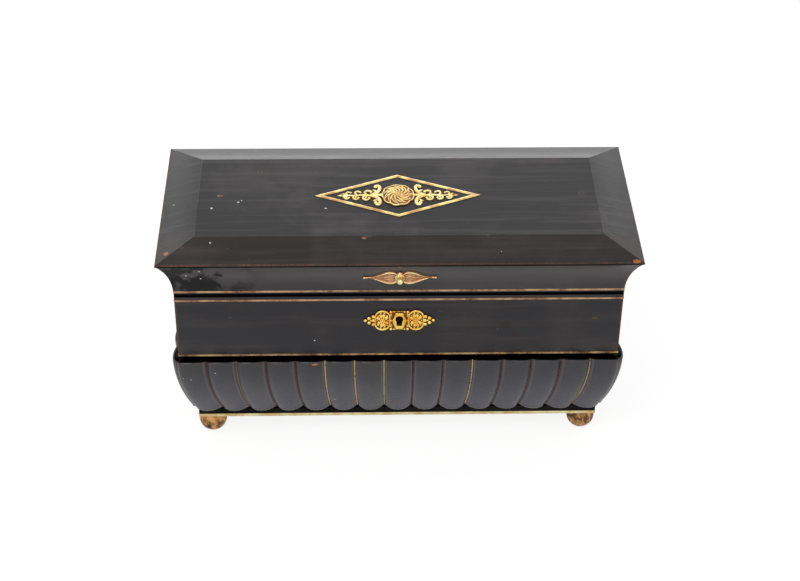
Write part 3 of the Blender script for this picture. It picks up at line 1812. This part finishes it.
@dataclass
class FingerPull(SubAssembly):
    """The pull: two dished leaves on the hollow moulding and a faceted knob."""

    body: str = "lid"
    length: float = 61.0
    height: float = 17.0
    rise: float = 20.5
    knob_r: float = 3.1
    knob_out: float = 3.3
    knob_facets: int = 10
    # Height over the wood as which the knob's brass is coloured
    knob_relief: float = 1.2
    middle_r: float = 4.3
    # The ribs of a leaf: their lean in degrees and their length
    ribs: tuple[tuple[float, float], ...] = ((20, 10), (-20, 10), (10, 14), (-10, 14), (0, 17))

    def seat(self, along: float, up: float, out: float) -> Vector:
        """Bends a place of the pull round the hollow moulding.

        Args:
            along: Place along the box, in millimetres.
            up: Place up the moulding.
            out: Place out of it.

        Returns:
            The point of the frame.
        """
        lv = self.levels
        start = math.asin((lv.z_lid + self.rise * MM - lv.z_hollow) / lv.hollow_r)
        angle = start + up * MM / lv.hollow_r
        radius = lv.hollow_r - out * MM
        middle = lv.wall_in - lv.half_d - lv.hollow_r
        z = lv.z_hollow + radius * math.sin(angle)
        return Vector((along * MM, middle + radius * math.cos(angle), z))

    def half(self, share: float) -> float:
        """Gives half the height of a leaf.

        Args:
            share: Share of the leaf's length, from the knob to the tip.

        Returns:
            Half the height there.
        """
        def curve(t: float) -> float:
            """Gives the leaf's outline, before its height."""
            return t ** 0.9 * (1 - t) ** 2.7

        return max(0.55, self.height / 2 * curve(share) / curve(0.25))

    def leaf(self, relief: Relief, way: int) -> None:
        """Adds one leaf with its bright rim and dished inside.

        Args:
            relief: The mount.
            way: 1 to the right of the knob, -1 to its left.
        """
        # From the middle rib to the rim: share of half the height, and height
        section = ((0.12, 0.8), (0.45, 0.75), (0.74, 1.1), (0.84, 1.75), (0.93, 1.7), (1.0, 1.0), (1.0, 0.0))
        lower = [(-side, out) for side, out in reversed(section)]
        rows = [*lower, (0.0, 1.15), *section, (-1.0, 0.0)]
        steps, root, tip = 30, 0.035, 0.95

        def place(u: float, v: float) -> Spot:
            """Puts the point at a share of the leaf's length and a share of its section.

            Args:
                u: Share of the length.
                v: Share of the section.

            Returns:
                Its place on the mount.
            """
            share = root + (tip - root) * u ** 1.15
            side, out = rows[round(v * (len(rows) - 1))]
            full = min(1.0, self.half(share) / 3.2)
            out = out * (0.72 + 0.28 * full) if out else 0.0
            return (way * share * self.length / 2, side * self.half(share), out)

        relief.lump(steps, len(rows) - 1, place)
        for lean, reach in self.ribs:
            angle = lean if way > 0 else 180 - lean
            relief.leaf((way * 2.6, 0.1 * lean), angle, reach, 1.3, 0.9, base=0.45)
        relief.bead(way * (self.length / 2 - 3.0), 0, 0.7, 1.0, 0.9)
        relief.bead(way * (self.length / 2 - 1.1), 0, 0.9, 1.2, 0.9)

    def plate(self) -> bpy.types.Object:
        """Makes the plate of both leaves, its middle and its top bead.

        Returns:
            The piece.
        """
        relief = Relief()
        for way in (1, -1):
            self.leaf(relief, way)
        rows = [
            (1.0, 0.0), (1.0, 1.5), (0.8, 2.1), (0.55, 1.9), (0.3, 1.2), (0.0, 0.9), (0.0, 0.0), (1.0, 0.0),
        ]
        relief.collar(circle(self.middle_r, 32), circle(0.4 * self.middle_r, 32), rows, turns=32)
        relief.bead(0, 6.6, 1.2, 1.7)
        for way in (1, -1):
            relief.leaf((0, 4.0), 90 + way * 50, 4.2, 2.2, 1.5, twist=-60 * way, base=0.3)
        return relief.land("pull_leaves", self.seat)

    def knob(self) -> bpy.types.Object:
        """Turns the knob, which has flat facets round it.

        Returns:
            The piece.
        """
        stem = [(0.0, 0.3), (2.3, 0.3), (2.3, 0.9), (1.6, 1.5), (1.5, 2.6)]
        middle = self.knob_out + 1.2
        ball = [
            (self.knob_r * math.sin(angle), middle - self.knob_r * math.cos(angle))
            for angle in map(math.radians, range(32, 153, 20))
        ]
        shape = bmesh.new()
        outline = [*stem, *ball, (0.0, ball[-1][1] + 0.3)]
        verts = [shape.verts.new((radius, 0, height)) for radius, height in outline]
        edges = [shape.edges.new(pair) for pair in zip(verts, verts[1:])]
        bmesh.ops.spin(
            shape, geom=[*verts, *edges], cent=(0, 0, 0), axis=(0, 0, 1), angle=2 * math.pi,
            steps=self.knob_facets, use_merge=True,
        )
        bmesh.ops.remove_doubles(shape, verts=shape.verts, dist=1e-4)
        bmesh.ops.recalc_face_normals(shape, faces=shape.faces)
        bmesh.ops.bevel(
            shape, geom=list(shape.edges), offset=0.12, offset_type="OFFSET", affect="EDGES",
            segments=1, profile=0.5, material=-1, clamp_overlap=True,
        )
        for vert in shape.verts:
            vert.co = self.seat_square(vert.co)
        bmesh.ops.recalc_face_normals(shape, faces=shape.faces)
        piece = face_mesh(shape, "pull_ball", 12)
        heights = piece.data.attributes.new("relief", "FLOAT", "POINT")
        heights.data.foreach_set("value", [self.knob_relief] * len(piece.data.vertices))
        return piece

    def seat_square(self, point: Vector) -> Vector:
        """Puts a place of the knob square to the moulding at the pull's middle.

        Args:
            point: The place, in millimetres.

        Returns:
            The point of the frame.
        """
        foot, tip = self.seat(0, 0, 0), self.seat(0, 0, 1)
        out = (tip - foot) / MM
        up = Vector((1, 0, 0)).cross(out) * -1
        return foot + (Vector((1, 0, 0)) * point.x + up * point.y + out * point.z) * MM

    def build(self) -> None:
        """Makes the pull and finishes it."""
        brass = PressedBrass(
            "pull_brass", low=0.8, high=1.6,
            bright=srgb(255, 238, 182), warm=srgb(236, 186, 126), dark=srgb(176, 120, 84),
        )
        self.keep(self.plate(), brass, Slot.GILT, "pull_plate")
        self.keep(self.knob(), brass, Slot.GILT, "pull_knob")


@dataclass
class Escutcheon(SubAssembly):
    """The keyhole's mount: a hexagon between two roundels of pressed flowers."""

    length: float = 60.0
    middle_w: float = 15.2
    middle_h: float = 19.6
    roundel_w: float = 13.6
    roundel_h: float = 21.4
    hexagon_w: float = 12.2
    hexagon_h: float = 16.4
    key_r: float = 3.1
    key_drop: float = 1.8
    slot_w: float = 4.2
    slot_l: float = 6.6
    plate: float = 1.2
    # Beads at a corner of the middle plate: their places along and up, and their radii
    corner_beads: tuple[Spot, ...] = ((7.1, 9.0, 1.4), (7.3, 5.9, 0.8), (4.3, 9.2, 0.8))
    petals: int = 8
    petal_reach: tuple[float, float] = (4.1, 7.2)

    def seat(self, along: float, up: float, out: float) -> Vector:
        """Puts a place of the mount on the front wall."""
        lv = self.levels
        return Vector((along * MM, lv.wall_in - lv.half_d - out * MM, lv.z_mount + up * MM))

    def keyhole(self) -> list[tuple[float, float]]:
        """Works out the keyhole's outline.

        Returns:
            Its points round the mount's middle.
        """
        turn = math.asin(self.slot_w / 2 / self.key_r)
        arc = [-math.pi / 2 + turn + (2 * math.pi - 2 * turn) * step / 28 for step in range(29)]
        points = [(self.key_r * math.cos(a), self.key_drop + self.key_r * math.sin(a)) for a in arc]
        foot = self.key_drop - self.slot_l
        return [*points, (-self.slot_w / 2, foot), (self.slot_w / 2, foot)]

    def hexagon(self) -> list[tuple[float, float]]:
        """Gives the hexagon's outline."""
        w, h = self.hexagon_w / 2, self.hexagon_h / 2
        return [(w, 0), (w / 2, h), (-w / 2, h), (-w, 0), (-w / 2, -h), (w / 2, -h)]

    def middle(self, relief: Relief) -> None:
        """Adds the square plate, the hexagon and the corner beads.

        Args:
            relief: The mount.
        """
        w, h = self.middle_w / 2, self.middle_h / 2
        square = [(w, h), (-w, h), (-w, -h), (w, -h)]
        rows = [
            (1.0, 0.0), (1.0, self.plate), (0.93, self.plate + 0.25), (0.86, self.plate),
            (0.0, self.plate), (0.0, 0.0), (1.0, 0.0),
        ]
        relief.collar(square, self.keyhole(), rows, turns=120)
        top = self.plate + 1.5
        ring = [
            (1.0, 0.4), (1.0, top - 0.35), (0.9, top), (0.74, top), (0.66, top - 0.9), (0.5, top - 0.95),
            (0.4, top - 0.3), (0.14, top - 0.35), (0.0, self.plate), (0.0, 0.2), (1.0, 0.4),
        ]
        relief.collar(self.hexagon(), self.keyhole(), ring, turns=120)
        for x in (-1, 1):
            for y in (-1, 1):
                for along, high, radius in self.corner_beads:
                    relief.bead(along * x, high * y, self.plate, radius, 0.9)
                relief.leaf((6.7 * x, 3.4 * y), 90 * y, 4.6, 1.5, 0.8, base=self.plate - 0.2)
            relief.bead(7.2 * x, 0, self.plate, 1.0, 0.8)

    def roundel(self, relief: Relief, way: int) -> None:
        """Adds one roundel with its flower.

        Args:
            relief: The mount.
            way: 1 to the right of the middle, -1 to its left.
        """
        x = way * ((self.middle_w + self.roundel_w) / 2 - 0.3)
        plate = self.plate
        rows = [
            (1.0, 0.0), (1.0, plate), (0.96, plate + 0.55), (0.9, plate + 0.65), (0.84, plate + 0.4),
            (0.8, plate - 0.1), (0.4, plate + 0.1), (0.0, plate + 0.3), (0.0, 0.0), (1.0, 0.0),
        ]
        relief.collar(stadium(self.roundel_w, self.roundel_h), None, rows, (x, 0))
        wide, high = self.petal_reach
        for u, v in circle(1, self.petals, 0.5):
            turn = math.degrees(math.atan2(high * v, wide * u))
            root = (x + 0.42 * wide * u, 0.42 * high * v)
            relief.leaf(root, turn, 4.6, 3.4, 1.5, twist=24, base=plate - 0.4)
        for u, v in circle(1, 10):
            relief.bead(x + 4.7 * u, 8.2 * v, plate, 0.75, 0.9)
        for u, v in circle(1, 6):
            relief.bead(x + 1.6 * u, 2.1 * v, plate + 0.5, 0.8, 0.8)
        relief.bead(x, 0, plate + 0.8, 0.95, 0.8)

    def bead_end(self, relief: Relief, way: int) -> None:
        """Adds the pyramid of beads that ends the mount on one side.

        Args:
            relief: The mount.
            way: 1 at the right end, -1 at the left.
        """
        start = (self.middle_w + self.roundel_w) / 2 - 0.3 + self.roundel_w / 2
        tip = self.length / 2 - 1.4
        upper = [(start - 3, 4.5), (start + 1.4, 3.0), (tip, 0.7)]
        web = [(way * x, y) for x, y in (*upper, *((x, -y) for x, y in reversed(upper)))]
        middle = ((web[0][0] + web[2][0]) / 2, 0.0)
        local = [(x - middle[0], y) for x, y in web]
        rows = [(1.0, 0.0), (1.0, 0.7), (0.8, 0.95), (0.0, 1.0), (0.0, 0.0), (1.0, 0.0)]
        relief.collar(local, None, rows, middle, turns=36)
        between = (start + 1.4 + tip) / 2
        beads = (
            (start + 1.0, 4.1, 1.7), (start + 1.0, -4.1, 1.7), (start + 0.8, 0, 1.7),
            (between, 2.4, 1.75), (between, -2.4, 1.75), (between - 1.6, 0, 1.0), (tip, 0, 1.6),
        )
        for x, y, radius in beads:
            relief.bead(way * x, y, 0.9, radius, 0.9)

    def build(self) -> None:
        """Makes the escutcheon and finishes it."""
        relief = Relief()
        self.middle(relief)
        for way in (1, -1):
            self.roundel(relief, way)
            self.bead_end(relief, way)
        brass = PressedBrass(
            "escutcheon_brass", low=0.9, high=2.3,
            bright=srgb(255, 230, 126), warm=srgb(248, 182, 72), dark=srgb(118, 62, 20),
        )
        self.keep(relief.land("escutcheon_pressing", self.seat), brass, Slot.GILT, "escutcheon")
        self.dress(["escutcheon_pins"], PressedBrass("escutcheon_pin_brass", low=-1.0, high=-0.5))


@dataclass
class BoxLock(SubAssembly):
    """The lock in the front wall, its bolt and the link plate on the lid."""

    def build(self) -> None:
        """Finishes the lock's plates and iron parts."""
        brass = PatinatedBrass("lock_brass")
        self.dress(["lock_cap", "lock_selvedge", "link_plate"], brass)
        self.dress(["lock_case", "lock_spring", "lock_bolt"], LockIron("lock_iron"))


@dataclass
class SlottedScrews(SubAssembly):
    """Screws with slotted heads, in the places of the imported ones."""

    head_h: float = 0.9 * MM
    slot_w: float = 0.55 * MM
    slot_d: float = 0.45 * MM
    # Radii of the shank's tip and neck, as shares of the head's
    tip_share: float = 0.3
    neck_share: float = 0.5

    def islands(self, node: str) -> list[tuple[Vector, Vector]]:
        """Finds the box of each separate screw of a node.

        Args:
            node: The node's name.

        Returns:
            The lowest and the highest corner of each screw.
        """
        shape = copy_of_node(node)
        left, found = set(shape.verts), []
        while left:
            stack, island = [left.pop()], []
            while stack:
                vert = stack.pop()
                island.append(vert.co.copy())
                for edge in vert.link_edges:
                    other = edge.other_vert(vert)
                    if other in left:
                        left.remove(other)
                        stack.append(other)
            low = Vector([min(co[axis] for co in island) for axis in range(3)])
            high = Vector([max(co[axis] for co in island) for axis in range(3)])
            found.append((low, high))
        shape.free()
        return sorted(found, key=lambda box: tuple(round(value, 5) for value in box[0]))

    def screw(self, radius: float, length: float, turn: float) -> bmesh.types.BMesh:
        """Makes one screw with its head's top at the origin and its shank down.

        Args:
            radius: Radius of the head.
            length: Length over all.
            turn: Direction of the slot.

        Returns:
            The screw.
        """
        shape = bmesh.new()
        bmesh.ops.create_circle(shape, cap_ends=True, cap_tris=False, segments=24, radius=radius)
        for offset in (-self.slot_w / 2, self.slot_w / 2):
            bmesh.ops.bisect_plane(
                shape, geom=[*shape.verts, *shape.edges, *shape.faces], dist=1e-7,
                plane_co=(0, offset, 0), plane_no=(0, 1, 0),
            )
        flanks = [face for face in shape.faces if abs(face.calc_center_median().y) > self.slot_w / 2]
        raised = bmesh.ops.extrude_discrete_faces(shape, faces=flanks)["faces"]
        for face in raised:
            bmesh.ops.translate(shape, verts=face.verts, vec=(0, 0, self.slot_d))
        bmesh.ops.translate(shape, verts=shape.verts, vec=(0, 0, -self.slot_d))
        rims = [edge for edge in shape.edges if edge.is_boundary]
        skirt = bmesh.ops.extrude_edge_only(shape, edges=rims)["geom"]
        lower = [item for item in skirt if isinstance(item, bmesh.types.BMVert)]
        for vert in lower:
            vert.co.z = -self.head_h
        shank = bmesh.ops.create_cone(
            shape, cap_ends=True, segments=16,
            radius1=self.tip_share * radius, radius2=self.neck_share * radius,
            depth=length - self.head_h,
            matrix=Matrix.Translation((0, 0, -(length + self.head_h) / 2)),
        )["verts"]
        bmesh.ops.remove_doubles(shape, verts=[v for v in shape.verts if v not in shank], dist=1e-7)
        close_ends(shape)
        shape.transform(Matrix.Rotation(turn, 4, "Z"))
        return shape

    def build_for(self, node: str, body: str, out: Vector, finish: Finish, slot: Slot) -> None:
        """Replaces one node's screws.

        Args:
            node: The node.
            body: Its body.
            out: Where the heads point.
            finish: Their finish.
            slot: The record's slot.
        """
        draw = random.Random(node)
        whole = bmesh.new()
        turn_to = Vector((0, 0, 1)).rotation_difference(out).to_matrix().to_4x4()
        for low, high in self.islands(node):
            middle = (low + high) / 2
            span = high - low
            length = abs(span.dot(out))
            radius = min(span) / 2
            top = middle + out * (length / 2)
            part = self.screw(radius, length, draw.uniform(0, math.pi))
            part.transform(Matrix.Translation(top) @ turn_to)
            mesh = bpy.data.meshes.new("screw")
            part.to_mesh(mesh)
            part.free()
            whole.from_mesh(mesh)
            bpy.data.meshes.remove(mesh)
        self.body = body
        self.keep(face_mesh(whole, node + "_slotted", 30), finish, slot, node)

    def build(self) -> None:
        """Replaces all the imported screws."""
        brass = PatinatedBrass("screw_brass")
        for node, body, out, slot in (
            ("lock_screws", "case", Vector((0, 1, 0)), Slot.GILT),
            ("link_screws", "lid", Vector((0, 0, -1)), Slot.GILT),
            ("hinge_screws_case", "case", Vector((0, 0, 1)), Slot.PATINA),
            ("hinge_screws_lid", "lid", Vector((0, 0, -1)), Slot.PATINA),
        ):
            self.build_for(node, body, out, brass, slot)


@dataclass
class ButtHinges(SubAssembly):
    """The two hinges at the back."""

    def build(self) -> None:
        """Finishes the leaves and the pins."""
        brass = PatinatedBrass("hinge_brass")
        for part in ("case_leaf", "lid_leaf", "pin"):
            self.dress([f"hinge_{part}_{side}" for side in ("left", "right")], brass)


@dataclass
class Linings(SubAssembly):
    """The paper in the floor and in the lid."""

    def build(self) -> None:
        """Finishes the linings."""
        self.dress(["floor_lining", "lid_lining"], LiningPaper("red_paper"))


@dataclass(frozen=True)
class Lamp:
    """A soft lamp: its place, its width and height, and its power in watts."""

    name: str
    spot: Spot
    size: tuple[float, float]
    power: float

    def hang(self, aim: Vector) -> None:
        """Hangs the lamp.

        Args:
            aim: What it points at.
        """
        data = bpy.data.lights.new(self.name, "AREA")
        data.shape, data.size, data.size_y, data.energy = "RECTANGLE", *self.size, self.power
        lamp = bpy.data.objects.new(self.name, data)
        lamp.location = self.spot
        lamp.rotation_euler = (aim - Vector(self.spot)).to_track_quat("-Z", "Y").to_euler()
        lamp.visible_camera = False
        bpy.context.scene.collection.objects.link(lamp)


@dataclass
class Studio:
    """A white floor, soft lamps and the camera of the photograph."""

    # Where the camera stands and how it is turned, from a fit to the corners of the box
    stand: tuple[float, float, float] = (-0.03988, -1.27521, 1.06212)
    back: tuple[float, float, float] = (-0.02685, -0.80110, 0.59793)
    roll: float = 0.75
    lens: float = 81.0
    sensor: float = 36.0
    clip: tuple[float, float] = (0.05, 50.0)
    lamps: tuple[Lamp, ...] = (
        Lamp("key", (-0.9, -1.3, 2.2), (1.6, 1.2), 16.0),
        Lamp("far_wall", (0.0, 2.6, 0.55), (3.2, 1.1), 18.0),
    )
    aim: Spot = (0.0, 0.0, 0.12)
    room_grey: Colour = (0.8, 0.8, 0.8, 1.0)
    room_light: float = 0.72
    white: Colour = (1.0, 1.0, 1.0, 1.0)
    floor_size: float = 8.0
    floor_grey: Colour = (0.84, 0.84, 0.84, 1.0)
    floor_white: float = 1.2
    # How much of the floor shows as plain white, the rest takes the box's shadow
    floor_share: float = 0.72
    # How much of that metal and glass see
    floor_gloss: float = 0.6

    def camera(self) -> None:
        """Sets the camera up."""
        back = Vector(self.back).normalized()
        right = Vector((0, 0, 1)).cross(back).normalized()
        up = back.cross(right)
        roll = math.radians(self.roll)
        across = right * math.cos(roll) + up * math.sin(roll)
        upward = up * math.cos(roll) - right * math.sin(roll)
        data = bpy.data.cameras.new("camera")
        data.lens, data.sensor_width, data.sensor_fit = self.lens, self.sensor, "HORIZONTAL"
        data.clip_start, data.clip_end = self.clip
        camera = bpy.data.objects.new("camera", data)
        turned = Matrix((across, upward, back)).transposed().to_4x4()
        camera.matrix_world = Matrix.Translation(self.stand) @ turned
        bpy.context.scene.collection.objects.link(camera)
        bpy.context.scene.camera = camera

    def seen(self, nodes: Nodes, gloss_share: float = 1.0) -> Tone:
        """Marks the rays that see the room as white.

        Args:
            nodes: The tree that asks.
            gloss_share: How much of the white metal and glass see.

        Returns:
            1 for the camera's rays, that share for those off metal or through glass, and else 0.
        """
        rays = nodes.node("ShaderNodeLightPath")
        camera, gloss, glass = (
            Tone(nodes, rays.outputs[f"Is {kind} Ray"]) for kind in ("Camera", "Glossy", "Transmission")
        )
        return camera.most(gloss.most(glass) * gloss_share)

    def floor(self) -> None:
        """Lays the floor, which the camera sees as white with a faint shadow."""
        shape = bmesh.new()
        bmesh.ops.create_grid(shape, x_segments=4, y_segments=4, size=self.floor_size / 2)
        piece = face_mesh(shape, "floor")
        bench = Bench("floor_white")
        share = self.seen(bench, self.floor_gloss) * self.floor_share
        matt = bench.node("ShaderNodeBsdfDiffuse", sockets={"Color": self.floor_grey})
        white = bench.node(
            "ShaderNodeEmission", sockets={"Color": self.white, "Strength": self.floor_white}
        )
        mixed = bench.node(
            "ShaderNodeMixShader", sockets={0: share, 1: matt.outputs[0], 2: white.outputs[0]}
        )
        bench.node("ShaderNodeOutputMaterial", sockets={"Surface": mixed.outputs[0]})
        piece.data.materials.append(bench.made)

    def world(self) -> None:
        """Fills the room with even light, white where the camera or metal looks past the floor."""
        world = bpy.data.worlds.new("room")
        bpy.context.scene.world = world
        world.use_nodes = True
        room = Nodes(world.node_tree)
        share = self.seen(room)
        light = room.node(
            "ShaderNodeBackground", sockets={"Color": self.room_grey, "Strength": self.room_light}
        )
        white = room.node("ShaderNodeBackground", sockets={"Color": self.white, "Strength": 1.0})
        mixed = room.node(
            "ShaderNodeMixShader", sockets={0: share, 1: light.outputs[0], 2: white.outputs[0]}
        )
        room.node("ShaderNodeOutputWorld", sockets={"Surface": mixed.outputs[0]})

    def build(self) -> None:
        """Sets up the room."""
        self.world()
        self.floor()
        self.camera()
        for lamp in self.lamps:
            lamp.hang(Vector(self.aim))
        bpy.context.scene.view_settings.view_transform = "Standard"


def main() -> None:
    """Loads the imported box, builds each sub-assembly around it and notes the sizes."""
    logging.basicConfig(level=logging.INFO, format="%(name)s: %(message)s")
    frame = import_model()
    levels = Levels.read()
    for kind in (
        LidWoodwork, CaseWalls, GadroonedBase, Plinth, BallFeet, GiltLines, LozengeMount, FingerPull,
        Escutcheon, BoxLock, SlottedScrews, ButtHinges, Linings,
    ):
        kind(frame, levels).build()
        log.info("%s is done", kind.__name__)
    Studio().build()


if __name__ == "__main__":
    main()
